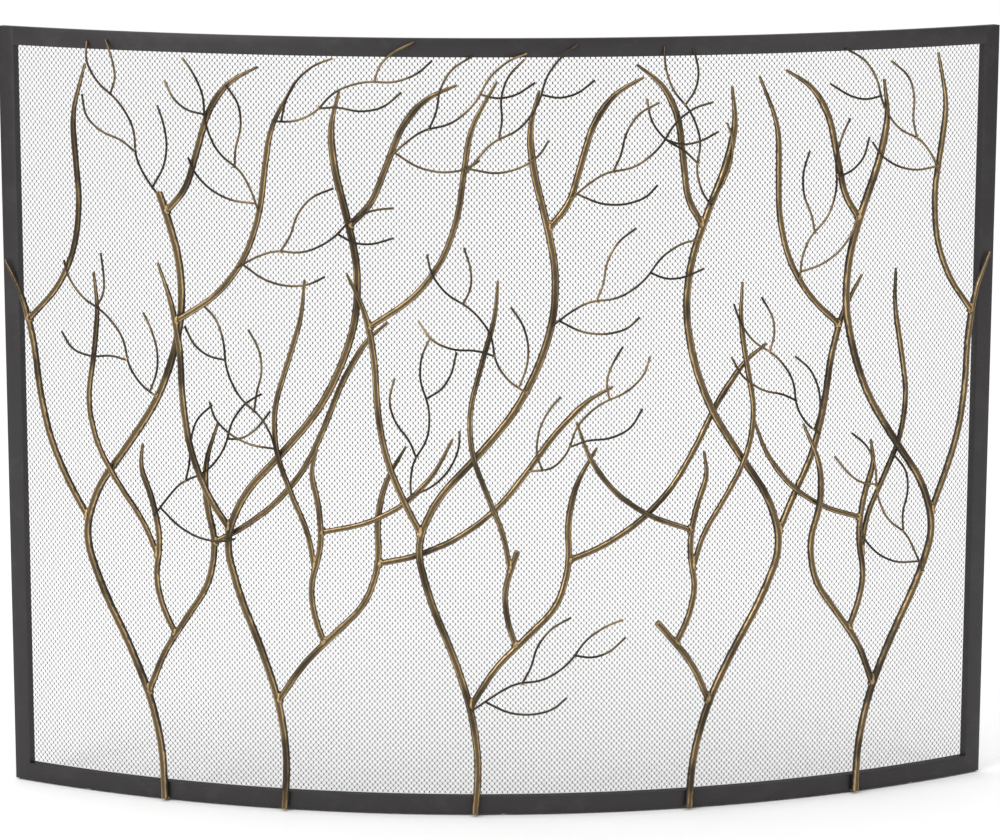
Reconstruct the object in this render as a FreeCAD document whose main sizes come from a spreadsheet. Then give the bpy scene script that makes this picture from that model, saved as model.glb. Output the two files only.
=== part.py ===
"""Bowed fireplace screen: a curved flat-bar frame, a woven wire panel and five rod-work trees.

Frame of reference: millimetres, +Z up, the hearth behind the screen at +Y. The origin is on the
floor under the middle of the bottom rail, where the bow comes furthest forward, and the front
face of the frame looks towards -Y. Everything is curved about one upright axis behind the screen.

The trees are drawn flat, as the smith's full-size pattern is: "across" is measured along the
bowed front face from its middle and "up" from the underside of the bottom rail. The pattern is
then wrapped round the bow, and it stretches with the panel when the panel's size changes.
"""

import FreeCAD
import Part
import math
import os

from FreeCAD import Placement, Rotation, Vector

# ---------------------------------------------------------------------------------------------
# Driving dimensions, in millimetres: alias, value, what it is
# ---------------------------------------------------------------------------------------------

SIZES = (
    ("screen_width", 1118, "straight width over the two stiles"),
    ("frame_height", 868, "height of the frame, without the floor pads"),
    ("bow_depth", 155, "how far the middle stands forward of the ends"),
    ("rail_face", 20, "face of the top and bottom rails"),
    ("stile_face", 20, "face of the two stiles"),
    ("bar_depth", 10, "thickness of the frame bar, front to back"),
    ("mesh_thickness", 1.4, "woven wire cloth, over both wires"),
    ("mesh_lap", 15, "how far the wire cloth laps behind the frame"),
    ("strip_width", 14, "width of the retaining strips"),
    ("strip_thickness", 1.5, "thickness of the retaining strips"),
    ("strip_inset", 4, "from the frame's outer edge to the strips"),
    ("strip_gap", 0.5, "between the ends of neighbouring strips"),
    ("screw_diameter", 3.5, "shank of the strip screws"),
    ("screw_head", 7, "head diameter of the strip screws"),
    ("screw_head_height", 2, "head height of the strip screws"),
    ("screw_bite", 6, "depth of the screws in the frame bar"),
    ("screw_seat", 0.05, "under the flat screw heads, because the strips' backs are hollow"),
    ("pad_diameter", 8, "clear bumper pads under the bottom rail"),
    ("pad_height", 2, "height of the bumper pads"),
    ("pad_from_middle", 490, "from the middle pad to each outer one, along the rail"),
    ("trunk_diameter", 8.5, "round bar of the trunks"),
    ("bough_diameter", 7.6, "round bar of the boughs that leave a trunk"),
    ("branch_diameter", 7, "round bar of the branches that leave a bough"),
    ("shoot_diameter", 6.4, "round bar of the shoots that leave a branch"),
    ("tip_diameter", 3.4, "drawn-down tip of a rod"),
    ("twig_diameter", 2.5, "wire of the twig sprays"),
    ("rod_gap", 0.2, "between a rod and whatever it is laid on"),
    ("cloth_clearance", 0.8, "between the wire cloth and the rods nearest to it"),
)

# The size of panel that the flat pattern is drawn for.
PATTERN_WIDTH = 1174.2
PATTERN_HEIGHT = 870.0

SCREWS_PER_RAIL = 7
SCREWS_PER_STILE = 5

# ---------------------------------------------------------------------------------------------
# The smith's patterns: how each rod is bent, with its root at (0, 0), as (across, up)
# ---------------------------------------------------------------------------------------------

ROD_PATTERNS = {
    "trunk": (
        (0, 0), (4, 58), (-4, 120), (-24, 183), (-50, 245), (-66, 308), (-43, 362), (2, 410),
        (42, 458), (68, 508), (85, 562), (87, 618), (76, 672), (62, 724), (57, 772), (68, 814),
    ),
    "side_bough": ((0, 0), (-22, 40), (-42, 90), (-51, 145), (-53, 200), (-63, 252), (-84, 295)),
    "top_bough": ((0, 0), (45, 30), (76, 70), (94, 120), (100, 170), (107, 218), (136, 269)),
    "crown_branch": ((0, 0), (21, 26), (33, 68), (46, 114), (68, 146), (102, 164)),
    "limb": ((0, 0), (25, 45), (62, 82), (95, 115), (109, 160), (106, 208), (115, 252), (139, 293)),
    "low_branch": ((0, 0), (-12, 28), (-19, 62), (-10, 108), (-16, 152), (-29, 190), (-24, 218)),
    "inner_branch": (
        (0, 0), (-7, 42), (-25, 88), (-43, 135), (-45, 185), (-30, 240), (-17, 285), (-14, 327),
    ),
    "long_branch": (
        (0, 0), (36, 14), (78, 40), (116, 78), (143, 124), (167, 174), (198, 218), (225, 238),
    ),
    "short_branch": ((0, 0), (45, 11), (88, 34), (121, 70), (140, 109)),
}

# A spray is four wires: the stem starts on a rod, and the others start on the stem.
SPRAY_PATTERN = {
    "stem": ((0, 0), (12, 17), (33, 31), (65, 35), (92, 56), (108, 84), (130, 100), (150, 105)),
    "high_twig": ((40, 33), (50, 50), (54, 73), (68, 95), (91, 106)),
    "end_twig": ((99, 65), (116, 59), (136, 62), (157, 73)),
    "low_twig": ((4, 6), (28, -4), (54, -5), (77, 2), (92, 14)),
}

# ---------------------------------------------------------------------------------------------
# The layout: where each rod's root is, how far its pattern is turned (degrees, anticlockwise) and
# how it passes the rods it crosses, one letter for each point of its pattern: F lies on the face
# of the frame, O goes over the rods on the face, U goes under them, down to the wire cloth. A
# rod that is cut short gives its length instead of being drawn down to a tip.
# ---------------------------------------------------------------------------------------------


def rod(pattern, parent, root, turn=0.0, layers="F", size="branch_diameter", cut=None):
    """One rod of a tree; a single layer letter stands for all of its points."""
    if len(layers) == 1:
        layers = layers * len(ROD_PATTERNS[pattern])
    return dict(pattern=pattern, parent=parent, root=root, turn=turn, layers=layers, size=size,
                cut=cut)


def spray(host, root, turn, flip=False, over="T", layers=None, **wire_turns):
    """One twig spray; each wire named in wire_turns is turned by itself about its own root.

    A wire passes over the rods and then comes down to the face at its tip, unless layers gives
    its letters: T goes over the rods on the face, V goes over those twigs, and H goes over the
    rods that go over others.
    """
    return dict(host=host, root=root, turn=turn, flip=flip, over=over, layers=layers or {},
                wire_turns=wire_turns)


TREES = (
    dict(
        flip=False,
        rods={
            "trunk": rod("trunk", None, (-389, 1), 5.5, size="trunk_diameter", cut=750),
            "side_bough": rod("side_bough", "trunk", (-478, 320), 4, size="bough_diameter"),
            "top_bough": rod("top_bough", "side_bough", (-549, 543), 12),
            "crown_branch": rod("crown_branch", "trunk", (-374, 675), -1, size="bough_diameter"),
            "limb": rod("limb", "trunk", (-403, 125), 11, "FFFFUUUU", "bough_diameter"),
            "low_branch": rod("low_branch", "limb", (-374, 196), 3),
            "inner_branch": rod(
                "inner_branch", "low_branch", (-396, 283), 10, "FFOOOFFF", "shoot_diameter"),
            "long_branch": rod("long_branch", "limb", (-332, 302), 5, "U"),
        },
        sprays=(
            spray("trunk", (-382, 698), 84, end_twig=9),
            spray("trunk", (-390, 468), 92, high_twig=17, end_twig=-10,
                  layers={"stem": "TTTTTTTT"}),
            spray("low_branch", (-385, 333), 16, low_twig=-40, end_twig=11,
                  layers={"stem": "TTTFFFFF", "high_twig": "TTFFF",
                          "low_twig": "TTTTT"}),
        ),
    ),
    dict(
        flip=False,
        rods={
            "trunk": rod("trunk", None, (-247, 1), size="trunk_diameter"),
            "side_bough": rod(
                "side_bough", "trunk", (-309, 321), -1, "FOOOOOF", "bough_diameter"),
            "top_bough": rod("top_bough", "side_bough", (-363, 554), 0, "OFFFFFF"),
            "crown_branch": rod("crown_branch", "trunk", (-168, 666), -5, size="bough_diameter"),
            "limb": rod("limb", "trunk", (-248, 127), 0, "FFFFUUUU", "bough_diameter"),
            "low_branch": rod("low_branch", "limb", (-202, 197), -5),
            "inner_branch": rod(
                "inner_branch", "low_branch", (-211, 278), -1, "FFOOOFFF", "shoot_diameter"),
            "short_branch": rod(
                "short_branch", "low_branch", (-197, 322), 0, size="shoot_diameter"),
            "long_branch": rod("long_branch", "limb", (-139, 286), -9, "U"),
        },
        sprays=(
            spray("inner_branch", (-251, 411), -27, flip=True,
                  layers={"stem": "HHHTTTFF", "low_twig": "HHHHT"}),
            spray("top_bough", (-273, 681), -28, flip=True,
                  layers={"high_twig": "TTTTT", "low_twig": "TTTTT"}),
            spray("top_bough", (-290, 614), -12, high_twig=7),
            spray("top_bough", (-249, 778), -123, flip=True, high_twig=-10, end_twig=5),
            spray("crown_branch", (-120, 739), 4, low_twig=-14),
            spray("short_branch", (-98, 360), 50),
            spray("long_branch", (33, 388), -99, flip=True),
        ),
    ),
    dict(
        flip=False,
        rods={
            "trunk": rod("trunk", None, (-32, 1), size="trunk_diameter"),
            "side_bough": rod(
                "side_bough", "trunk", (-88, 321), 0, "FOOOOOO", "bough_diameter"),
            "top_bough": rod("top_bough", "side_bough", (-145, 556), 0, "OFFFFFF"),
            "crown_branch": rod("crown_branch", "trunk", (48, 664), 0, size="bough_diameter"),
            "limb": rod("limb", "trunk", (-36, 125), 0, "FFFFUUUU", "bough_diameter"),
            "low_branch": rod("low_branch", "limb", (11, 196), -7, cut=112),
            "inner_branch": rod(
                "inner_branch", "low_branch", (6, 280), 0, "FFOOOFFF", "shoot_diameter"),
            "long_branch": rod("long_branch", "limb", (72, 290), 0, "U"),
        },
        sprays=(
            spray("trunk", (-23, 125), -3, end_twig=12),
            spray("trunk", (20, 485), 90, over="V", high_twig=11, end_twig=-8),
            spray("trunk", (55, 556), -4, over="V", high_twig=8,
                  layers={"stem": "VVVVVVVV", "end_twig": "VVVV"}),
            spray("crown_branch", (74, 695), 0, over="V",
                  layers={"stem": "VVVVVVVV", "high_twig": "VVVVV", "end_twig": "VVVV"}),
            spray("top_bough", (-38, 721), 16, over="V", end_twig=-10),
        ),
    ),
    dict(
        flip=True,
        rods={
            "trunk": rod("trunk", None, (209, 1), -7.5, size="trunk_diameter"),
            "side_bough": rod(
                "side_bough", "trunk", (306, 312), -4.5, "FUUUUUU", "bough_diameter"),
            "top_bough": rod("top_bough", "side_bough", (384, 544), -6.5, "UFFFFFF"),
            "crown_branch": rod("crown_branch", "trunk", (216, 664), -9, size="bough_diameter"),
            "limb": rod("limb", "trunk", (232, 123), -5, size="bough_diameter", cut=115),
            "low_branch": rod("low_branch", "limb", (194, 194), -1),
            "short_branch": rod(
                "short_branch", "low_branch", (203, 323), -7.5, size="shoot_diameter"),
            "inner_branch": rod(
                "inner_branch", "low_branch", (210, 277), -7, "FFOOOFFF", "shoot_diameter"),
        },
        sprays=(
            spray("trunk", (226, 685), 72, layers={"low_twig": "TTTTT"}),
            spray("top_bough", (330, 602), 36, layers={"low_twig": "TTTTT"}),
            spray("side_bough", (357, 423), 89, low_twig=11, layers={"high_twig": "THHTF"}),
        ),
    ),
    dict(
        flip=True,
        rods={
            "trunk": rod("trunk", None, (412, 1), -6, size="trunk_diameter"),
            "side_bough": rod("side_bough", "trunk", (500, 318), 1, size="bough_diameter"),
            "top_bough": rod("top_bough", "side_bough", (556, 548), -16),
            "crown_branch": rod("crown_branch", "trunk", (403, 663), -3, size="bough_diameter"),
            "limb": rod("limb", "trunk", (432, 126), -8.5, "FFFFFOOF", "bough_diameter"),
            "low_branch": rod("low_branch", "limb", (399, 194), 0),
            "short_branch": rod(
                "short_branch", "low_branch", (408, 323), -5.5, size="shoot_diameter"),
            "inner_branch": rod(
                "inner_branch", "low_branch", (414, 279), -5, "FUUUUUUU", "shoot_diameter"),
        },
        sprays=(
            spray("top_bough", (498, 710), -16, flip=True, end_twig=-9,
                  layers={"low_twig": "TTTTT"}),
            spray("trunk", (483, 257), -28, flip=True, layers={"low_twig": "TTTTT"}),
        ),
    ),
)

# ---------------------------------------------------------------------------------------------
# Document and sizes
# ---------------------------------------------------------------------------------------------

doc = FreeCAD.newDocument("fireplace_screen")
sheet = doc.addObject("Spreadsheet::Sheet", "Sizes")
for row, (alias, value, meaning) in enumerate(SIZES, start=1):
    sheet.set(f"A{row}", meaning)
    sheet.set(f"B{row}", str(value))
    sheet.setAlias(f"B{row}", alias)
doc.recompute()

nodes = {}


def size(alias):
    """A driving dimension as a number, for geometry that no expression can hold."""
    return float(sheet.get(alias))


BOW_RADIUS = "(((Sizes.screen_width / 2) ^ 2 + Sizes.bow_depth ^ 2) / (2 * Sizes.bow_depth))"
HALF_ANGLE = f"asin(Sizes.screen_width / 2 / {BOW_RADIUS})"
BOW_AXIS_Y = f"{BOW_RADIUS} - Sizes.bar_depth / 2"

bow_radius = ((size("screen_width") / 2) ** 2 + size("bow_depth") ** 2) / (2 * size("bow_depth"))
half_angle = math.asin(size("screen_width") / 2 / bow_radius)
bow_axis_y = bow_radius - size("bar_depth") / 2


def angle_of(length):
    """Expression for the angle that a length along the front face takes up."""
    return f"({length}) / {BOW_RADIUS} * 180 deg / pi"


def add_node(name, shape_object):
    """Labels the finished sub-part and puts it on the list of pieces to write."""
    shape_object.Label = name
    nodes[name] = shape_object
    return shape_object


# ---------------------------------------------------------------------------------------------
# Frame, wire cloth and retaining strips: bars and sheets curved about the bow's axis
# ---------------------------------------------------------------------------------------------


def curved_bar(name, front, back, bottom, height, start, sweep):
    """A bar bent round the bow.

    front and back are its depths behind the frame's front face, bottom and height are upright,
    start and sweep are angles from the middle of the bow; all are expressions on the sheet.
    """
    outside = doc.addObject("Part::Cylinder", f"{name}_outside")
    outside.setExpression("Radius", f"{BOW_RADIUS} - ({front})")
    outside.setExpression("Angle", sweep)
    inside = doc.addObject("Part::Cylinder", f"{name}_inside")
    inside.setExpression("Radius", f"{BOW_RADIUS} - ({back})")
    for cylinder, turn in ((outside, f"{start} - 90 deg"), (inside, "0 deg")):
        cylinder.Placement = Placement(Vector(), Rotation(Vector(0, 0, 1), 1))
        cylinder.setExpression("Height", height)
        cylinder.setExpression(".Placement.Base.y", BOW_AXIS_Y)
        cylinder.setExpression(".Placement.Base.z", f"Sizes.pad_height + {bottom}")
        cylinder.setExpression(".Placement.Rotation.Angle", turn)
    bar = doc.addObject("Part::Cut", f"{name}_bar")
    bar.Base, bar.Tool = outside, inside
    return bar


def across_between(inset):
    """Start and sweep of a bar that stops the same distance short of both ends."""
    short = angle_of(inset)
    return f"({short} - {HALF_ANGLE})", f"2 * ({HALF_ANGLE} - {short})"


def stile_sector(outer, width, side):
    """Start and sweep of an upright bar whose outer edge is this far in from the frame's end."""
    inner = angle_of(f"{outer} + {width}")
    start = f"({HALF_ANGLE} - {inner})" if side > 0 else f"({angle_of(outer)} - {HALF_ANGLE})"
    return start, angle_of(width)


rail_start, rail_sweep = across_between("Sizes.stile_face")
frame_bars = {
    "bottom_rail": curved_bar("bottom_rail", "0", "Sizes.bar_depth", "0", "Sizes.rail_face",
                              rail_start, rail_sweep),
    "top_rail": curved_bar("top_rail", "0", "Sizes.bar_depth",
                           "Sizes.frame_height - Sizes.rail_face", "Sizes.rail_face",
                           rail_start, rail_sweep),
}
for side, name in ((-1, "left_stile"), (1, "right_stile")):
    start, sweep = stile_sector("0", "Sizes.stile_face", side)
    frame_bars[name] = curved_bar(name, "0", "Sizes.bar_depth", "0", "Sizes.frame_height",
                                  start, sweep)

MESH_FRONT = "Sizes.bar_depth"
MESH_BACK = "Sizes.bar_depth + Sizes.mesh_thickness"
STRIP_BACK = "Sizes.bar_depth + Sizes.mesh_thickness + Sizes.strip_thickness"

mesh_start, mesh_sweep = across_between("Sizes.stile_face - Sizes.mesh_lap")
mesh_bar = curved_bar("mesh_panel", MESH_FRONT, MESH_BACK, "Sizes.rail_face - Sizes.mesh_lap",
                      "Sizes.frame_height - 2 * (Sizes.rail_face - Sizes.mesh_lap)",
                      mesh_start, mesh_sweep)

strip_start, strip_sweep = across_between(
    "Sizes.strip_inset + Sizes.strip_width + Sizes.strip_gap")
strip_bars = {
    "bottom_strip": curved_bar("bottom_strip", MESH_BACK, STRIP_BACK, "Sizes.strip_inset",
                               "Sizes.strip_width", strip_start, strip_sweep),
    "top_strip": curved_bar("top_strip", MESH_BACK, STRIP_BACK,
                            "Sizes.frame_height - Sizes.strip_inset - Sizes.strip_width",
                            "Sizes.strip_width", strip_start, strip_sweep),
}
for side, name in ((-1, "left_strip"), (1, "right_strip")):
    start, sweep = stile_sector("Sizes.strip_inset", "Sizes.strip_width", side)
    strip_bars[name] = curved_bar(name, MESH_BACK, STRIP_BACK, "Sizes.strip_inset",
                                  "Sizes.frame_height - 2 * Sizes.strip_inset", start, sweep)
doc.recompute()

# ---------------------------------------------------------------------------------------------
# Strip screws: one pan-head screw, set radially from behind round the whole frame
# ---------------------------------------------------------------------------------------------

screw_length = "Sizes.screw_bite + Sizes.mesh_thickness + Sizes.strip_thickness"
shank = doc.addObject("Part::Cylinder", "screw_shank")
shank.setExpression("Radius", "Sizes.screw_diameter / 2")
shank.setExpression("Height", screw_length)
head = doc.addObject("Part::Cylinder", "screw_head")
head.setExpression("Radius", "Sizes.screw_head / 2")
head.setExpression("Height", "Sizes.screw_head_height")
head.setExpression(".Placement.Base.z", f"0 - Sizes.screw_head_height")
screw = doc.addObject("Part::Fuse", "strip_screw")
screw.Base, screw.Tool = head, shank
doc.recompute()


def screw_places():
    """Placements of the screws: heads on the strips' backs, points towards the front."""
    depth = (size("bar_depth") + size("mesh_thickness") + size("strip_thickness")
             + size("screw_seat"))
    from_edge = size("strip_inset") + size("strip_width") / 2
    end = half_angle - from_edge / bow_radius
    top = size("frame_height") - from_edge
    spots = []
    for i in range(SCREWS_PER_RAIL):
        angle = end * (2 * (i + 0.5) / SCREWS_PER_RAIL - 1)
        spots += [(angle, from_edge), (angle, top)]
    for i in range(SCREWS_PER_STILE):
        up = from_edge + (top - from_edge) * i / (SCREWS_PER_STILE - 1)
        spots += [(-end, up), (end, up)]
    places = []
    for angle, up in spots:
        outward = Vector(math.sin(angle), -math.cos(angle), 0)
        seat = Vector(0, bow_axis_y, size("pad_height") + up) + outward * (bow_radius - depth)
        places.append(Placement(seat, Rotation(Vector(0, 0, 1), outward)))
    return places


def copies(shape, places):
    """A compound of separate copies of a shape."""
    placed = []
    for place in places:
        copy = shape.copy()
        copy.Placement = place.multiply(copy.Placement)
        placed.append(copy)
    return Part.makeCompound(placed)


screws = doc.addObject("Part::Feature", "strip_screws")
screws.Shape = copies(screw.Shape, screw_places())
add_node("strip_screws", screws)

holes = doc.addObject("Part::Feature", "screw_holes")
holes.Shape = copies(shank.Shape, screw_places())

for name, bar in {**frame_bars, "mesh_panel": mesh_bar, **strip_bars}.items():
    drilled = doc.addObject("Part::Cut", name)
    drilled.Base, drilled.Tool = bar, holes
    add_node(name, drilled)

# ---------------------------------------------------------------------------------------------
# Floor pads
# ---------------------------------------------------------------------------------------------


def on_the_bow(across, up, depth):
    """Where a point of the flat pattern is, this far in front of the frame's face."""
    angle = across / (PATTERN_WIDTH / 2) * half_angle
    radius = bow_radius + depth
    return Vector(
        radius * math.sin(angle),
        bow_axis_y - radius * math.cos(angle),
        size("pad_height") + up * size("frame_height") / PATTERN_HEIGHT,
    )


pads = []
for side in (-1, 0, 1):
    pad = doc.addObject("Part::Cylinder", "pad")
    pad.setExpression("Radius", "Sizes.pad_diameter / 2")
    pad.setExpression("Height", "Sizes.pad_height")
    turn = f"{side} * {angle_of('Sizes.pad_from_middle')}"
    pad.setExpression(".Placement.Base.x", f"({BOW_AXIS_Y}) * sin({turn})")
    pad.setExpression(".Placement.Base.y", f"({BOW_AXIS_Y}) * (1 - cos({turn}))")
    pads.append(pad)
pad_set = doc.addObject("Part::Compound", "floor_pads")
pad_set.Links = pads
add_node("floor_pads", pad_set)

# ---------------------------------------------------------------------------------------------
# Rods and wires: straight runs joined by tangent arcs, wrapped round the bow
# ---------------------------------------------------------------------------------------------

ARC_SHARE = 0.45
TIP_SEAM = 40


def turned(points, degrees, flip, root):
    """A flat pattern mirrored if asked, turned and moved to its root."""
    turn, side = math.radians(degrees), -1 if flip else 1
    return [
        (
            root[0] + side * a * math.cos(turn) - b * math.sin(turn),
            root[1] + side * a * math.sin(turn) + b * math.cos(turn),
        )
        for a, b in points
    ]


def cut_to_length(points, length):
    """The pattern cut off square after this length of rod."""
    kept = [points[0]]
    for (ax, ay), (bx, by) in zip(points, points[1:]):
        run = math.hypot(bx - ax, by - ay)
        if run >= length:
            share = length / run
            kept.append((ax + (bx - ax) * share, ay + (by - ay) * share))
            return kept
        kept.append((bx, by))
        length -= run
    return kept


def tangent_arcs(points):
    """Edges of a path: straight runs, with each corner rounded by an arc tangent to its runs."""
    edges, start = [], points[0]
    for before, corner, after in zip(points, points[1:], points[2:]):
        back, on = (before - corner), (after - corner)
        reach = ARC_SHARE * min(back.Length, on.Length)
        back.normalize()
        on.normalize()
        half_turn = (math.pi - back.getAngle(on)) / 2
        radius = reach / math.tan(half_turn)
        inward = (back + on).normalize()
        middle = corner + inward * (radius / math.cos(half_turn) - radius)
        arc_start, arc_end = corner + back * reach, corner + on * reach
        edges.append(Part.LineSegment(start, arc_start).toShape())
        edges.append(Part.Arc(arc_start, middle, arc_end).toShape())
        start = arc_end
    edges.append(Part.LineSegment(start, points[-1]).toShape())
    return edges


def round_section(name, alias, edge, at_end=False, seam=0):
    """A circle square to an edge, bound to a diameter on the sheet.

    Its seam faces the wire cloth, so that a rod welded on at a side or in front never meets it.
    """
    where = edge.LastParameter if at_end else edge.FirstParameter
    middle = edge.valueAt(where)
    inward = Vector(-middle.x, bow_axis_y - middle.y, 0)
    square_on = Rotation(inward, Vector(), edge.tangentAt(where), "ZXY")
    circle = doc.addObject("Part::Circle", name)
    circle.setExpression("Radius", f"Sizes.{alias} / 2")
    circle.Placement = Placement(middle, square_on * Rotation(Vector(0, 0, 1), seam))
    return circle


def swept(name, edges, sections):
    """A solid bar along a path, through its round sections."""
    route = doc.addObject("Part::Feature", f"{name}_route")
    route.Shape = Part.Wire(edges)
    bar = doc.addObject("Part::Sweep", name)
    bar.Sections = sections
    bar.Spine = (route, [f"Edge{i + 1}" for i in range(len(edges))])
    bar.Solid = True
    bar.Frenet = False
    return bar


def bent_bar(name, edges, alias, drawn_tip):
    """A round bar along a route; its last bend and run are drawn down to a tip.

    The tip's seam is turned from the bar's, because two seams that nearly meet leave a sliver.
    """
    plain = edges[:-2] if drawn_tip else edges
    bar = swept(f"{name}_bar", plain, [round_section(f"{name}_section", alias, plain[0])])
    if not drawn_tip:
        return bar
    tip = swept(f"{name}_tip", edges[-2:], [
        round_section(f"{name}_tip_root", alias, edges[-2], seam=TIP_SEAM),
        round_section(f"{name}_tip_end", "tip_diameter", edges[-1], at_end=True, seam=TIP_SEAM),
    ])
    whole = doc.addObject("Part::Fuse", f"{name}_whole")
    whole.Base, whole.Tool = bar, tip
    return whole


def coped(name, bar, alias, root, parent):
    """The bar with its root cut away to sit against its parent's side.

    A ball round the root goes first, so that no rim of the bar is left beyond a thin parent.
    """
    ball = doc.addObject("Part::Sphere", f"{name}_root_ball")
    ball.setExpression("Radius", f"Sizes.{alias} / 2 + Sizes.rod_gap")
    ball.Placement = Placement(root, Rotation())
    opened = doc.addObject("Part::Cut", f"{name}_opened")
    opened.Base, opened.Tool = bar, ball
    seated = doc.addObject("Part::Cut", f"{name}_seated")
    seated.Base, seated.Tool = opened, parent
    return seated


def nearest_on(route, point):
    """The point of a route that is nearest to this one."""
    return route.distToShape(Part.Vertex(point))[1][0][0]


def depth_of(letter, diameter):
    """How far in front of the frame's face the middle of a rod lies, for a layer letter."""
    gap, trunk = size("rod_gap"), size("trunk_diameter")
    back = {
        "U": size("cloth_clearance") - size("bar_depth"),
        "F": gap,
        "O": trunk + 5 * gap,
        "T": trunk + 2 * gap,
        "V": trunk + size("twig_diameter") + 3 * gap,
        "H": trunk + size("shoot_diameter") + 7 * gap,
    }
    return back[letter] + diameter / 2


def on_layers(flat, layers, diameter):
    """A flat route wrapped round the bow, each point on its layer."""
    return [on_the_bow(across, up, depth_of(letter, diameter))
            for (across, up), letter in zip(flat, layers)]


rods, routes = {}, {}
for number, tree in enumerate(TREES, start=1):
    for title, item in tree["rods"].items():
        flat = ROD_PATTERNS[item["pattern"]]
        if item["cut"]:
            flat = cut_to_length(flat, item["cut"])
        flat = turned(flat, item["turn"], tree["flip"], item["root"])
        points = on_layers(flat, item["layers"], size(item["size"]))
        parent = f"{item['parent']}_{number}"
        if item["parent"]:
            points[0] = nearest_on(routes[parent], points[0])
        edges = tangent_arcs(points)
        name = f"{title}_{number}"
        bar = bent_bar(name, edges, item["size"], drawn_tip=item["cut"] is None)
        if item["parent"]:
            bar = coped(name, bar, item["size"], points[0], rods[parent])
        rods[name] = add_node(name, bar)
        routes[name] = Part.Wire(edges)
doc.recompute()

# ---------------------------------------------------------------------------------------------
# Twig sprays: thin wires spot-welded on the rods' fronts, their tips brought back to the frame
# ---------------------------------------------------------------------------------------------


def spray_flat(item):
    """The flat pattern of one spray's wires, in place on the panel."""
    wires = {}
    for title, pattern in SPRAY_PATTERN.items():
        root = pattern[0]
        from_root = [(across - root[0], up - root[1]) for across, up in pattern]
        wire = turned(from_root, item["wire_turns"].get(title, 0), False, root)
        wires[title] = turned(wire, item["turn"], item["flip"], item["root"])
    return wires


def lapped(route, point, host_diameter, lap_diameter):
    """Where a wire's middle is when the wire lies on the front of the rod nearest to a point."""
    middle = nearest_on(route, point)
    outward = Vector(middle.x, middle.y - bow_axis_y, 0).normalize()
    return middle + outward * ((host_diameter + lap_diameter) / 2 + 2 * size("rod_gap"))


def spray_wires(item, host_route, host_diameter):
    """The wires of one spray, as bent bars: the stem lies on a rod, the others on the stem."""
    twig = size("twig_diameter")
    route, diameter = host_route, host_diameter
    bars = []
    for title, flat in spray_flat(item).items():
        layers = item["layers"].get(title, item["over"] * (len(flat) - 1) + "F")
        points = on_layers(flat, layers, twig)
        points[0] = lapped(route, points[0], diameter, twig)
        edges = tangent_arcs(points)
        if title == "stem":
            route, diameter = Part.Wire(edges), twig
        bars.append(bent_bar(f"spray_{title}", edges, "twig_diameter", drawn_tip=False))
    return bars


for number, tree in enumerate(TREES, start=1):
    wires = []
    for item in tree["sprays"]:
        host = f"{item['host']}_{number}"
        host_diameter = size(tree["rods"][item["host"]]["size"])
        wires += spray_wires(item, routes[host], host_diameter)
    group = doc.addObject("Part::Compound", f"twigs_{number}")
    group.Links = wires
    add_node(f"twigs_{number}", group)
doc.recompute()

# ---------------------------------------------------------------------------------------------
# Checks and files
# ---------------------------------------------------------------------------------------------

for item in doc.Objects:
    if {"Invalid", "Error"} & set(item.State):
        raise RuntimeError(f"{item.Label} failed: {item.State}")
for name, item in nodes.items():
    if item.Shape.isNull() or not item.Shape.isValid() or not item.Shape.Solids:
        raise RuntimeError(f"{name} has no valid solid")

os.makedirs("parts", exist_ok=True)
for name, item in nodes.items():
    item.Shape.exportStep(f"parts/{name}.step")
print(f"{len(nodes)} nodes written, bow radius {bow_radius:.1f} mm")
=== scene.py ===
"""Looks of a bowed fireplace screen: forged branches welded before woven wire cloth in a flat bar frame.

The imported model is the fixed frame. Every place here is worked out from it, in metres, with +Z up, the
bow's front towards -Y and the hearth behind it.
"""

import logging
import math
from dataclasses import dataclass, field
from enum import Enum
from typing import Any, Iterable, Optional, Sequence, Union

import bpy
import numpy as np
from mathutils import Matrix, Vector, noise
from mathutils.bvhtree import BVHTree


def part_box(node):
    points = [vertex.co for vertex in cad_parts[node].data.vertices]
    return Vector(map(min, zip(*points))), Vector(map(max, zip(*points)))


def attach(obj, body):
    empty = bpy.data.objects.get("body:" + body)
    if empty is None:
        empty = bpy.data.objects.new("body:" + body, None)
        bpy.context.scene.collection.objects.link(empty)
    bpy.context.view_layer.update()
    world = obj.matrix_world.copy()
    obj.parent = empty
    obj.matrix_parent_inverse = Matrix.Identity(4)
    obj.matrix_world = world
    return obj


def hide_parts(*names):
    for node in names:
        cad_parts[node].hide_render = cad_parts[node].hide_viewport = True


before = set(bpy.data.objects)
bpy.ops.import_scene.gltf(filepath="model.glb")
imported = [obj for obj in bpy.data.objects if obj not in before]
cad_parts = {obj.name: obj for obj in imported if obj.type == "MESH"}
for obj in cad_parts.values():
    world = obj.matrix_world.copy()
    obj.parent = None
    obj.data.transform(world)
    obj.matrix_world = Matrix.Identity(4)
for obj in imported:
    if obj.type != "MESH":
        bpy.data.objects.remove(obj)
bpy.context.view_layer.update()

LOG = logging.getLogger("fireplace_screen")
ROOT_BODY = "root"
MM = 0.001
SEED = 4261
TREES = 5
SEAM_WELD = 0.01 * MM
AXIS_RADIUS = 0.01 * MM

Colour = tuple[float, float, float]
Number = Union[float, "Value"]


class Slot(Enum):
    """The material slots that the part's record names."""

    FRAME_BAR = "frame_bar"
    WIRE_CLOTH = "wire_cloth"
    STRIP = "strip"
    SCREW = "screw"
    PAD = "pad"
    ROD = "rod"
    TWIG = "twig"


class Lay(Enum):
    """Which of the cloth's two diagonals a stretch of wire follows."""

    FRONT = 1.0
    BACK = -1.0


# ---------------------------------------------------------------------------------------------------
# Shader work


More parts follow.
